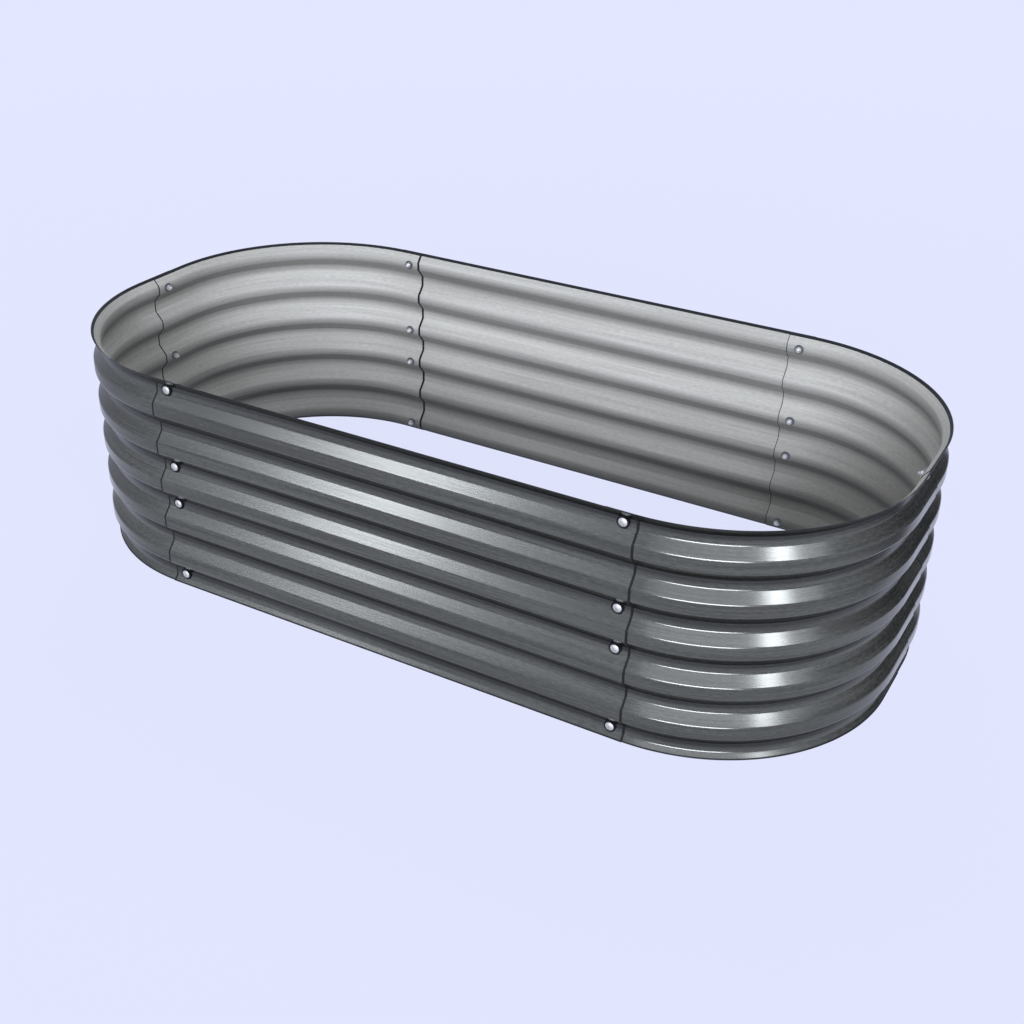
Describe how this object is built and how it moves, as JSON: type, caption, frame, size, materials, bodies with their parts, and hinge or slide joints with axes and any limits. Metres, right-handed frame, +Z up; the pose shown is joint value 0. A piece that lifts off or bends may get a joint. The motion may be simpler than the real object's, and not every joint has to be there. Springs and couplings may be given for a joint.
{
  "type": "raised garden bed",
  "caption": "Oval raised garden bed of corrugated coated sheet steel, open at top and bottom, with straight sides and rounded ends bolted together at lap seams.",
  "frame": {"origin": "on the ground, at the middle of the bed", "axes": "+X along the length, +Y towards the back, +Z up"},
  "size_m": [1.6, 0.8, 0.42],
  "materials": {
    "coated_sheet": "satin charcoal metallic coat over zinc-aluminium coated steel, with a paler grey inner face",
    "zinc_plated_steel": "bright zinc plated",
    "sealing_rubber": "matte black"
  },
  "bodies": {
    "root": {"front_side_panel": "coated_sheet", "back_side_panel": "coated_sheet", "front_left_corner_panel": "coated_sheet", "front_right_corner_panel": "coated_sheet", "back_right_corner_panel": "coated_sheet", "back_left_corner_panel": "coated_sheet", "front_left_bolts": "zinc_plated_steel", "front_left_seal_washers": "sealing_rubber", "front_left_flat_washers": "zinc_plated_steel", "front_left_nuts": "zinc_plated_steel", "front_right_bolts": "zinc_plated_steel", "front_right_seal_washers": "sealing_rubber", "front_right_flat_washers": "zinc_plated_steel", "front_right_nuts": "zinc_plated_steel", "right_end_bolts": "zinc_plated_steel", "right_end_seal_washers": "sealing_rubber", "right_end_flat_washers": "zinc_plated_steel", "right_end_nuts": "zinc_plated_steel", "back_right_bolts": "zinc_plated_steel", "back_right_seal_washers": "sealing_rubber", "back_right_flat_washers": "zinc_plated_steel", "back_right_nuts": "zinc_plated_steel", "back_left_bolts": "zinc_plated_steel", "back_left_seal_washers": "sealing_rubber", "back_left_flat_washers": "zinc_plated_steel", "back_left_nuts": "zinc_plated_steel", "left_end_bolts": "zinc_plated_steel", "left_end_seal_washers": "sealing_rubber", "left_end_flat_washers": "zinc_plated_steel", "left_end_nuts": "zinc_plated_steel"}
  },
  "joints": []
}
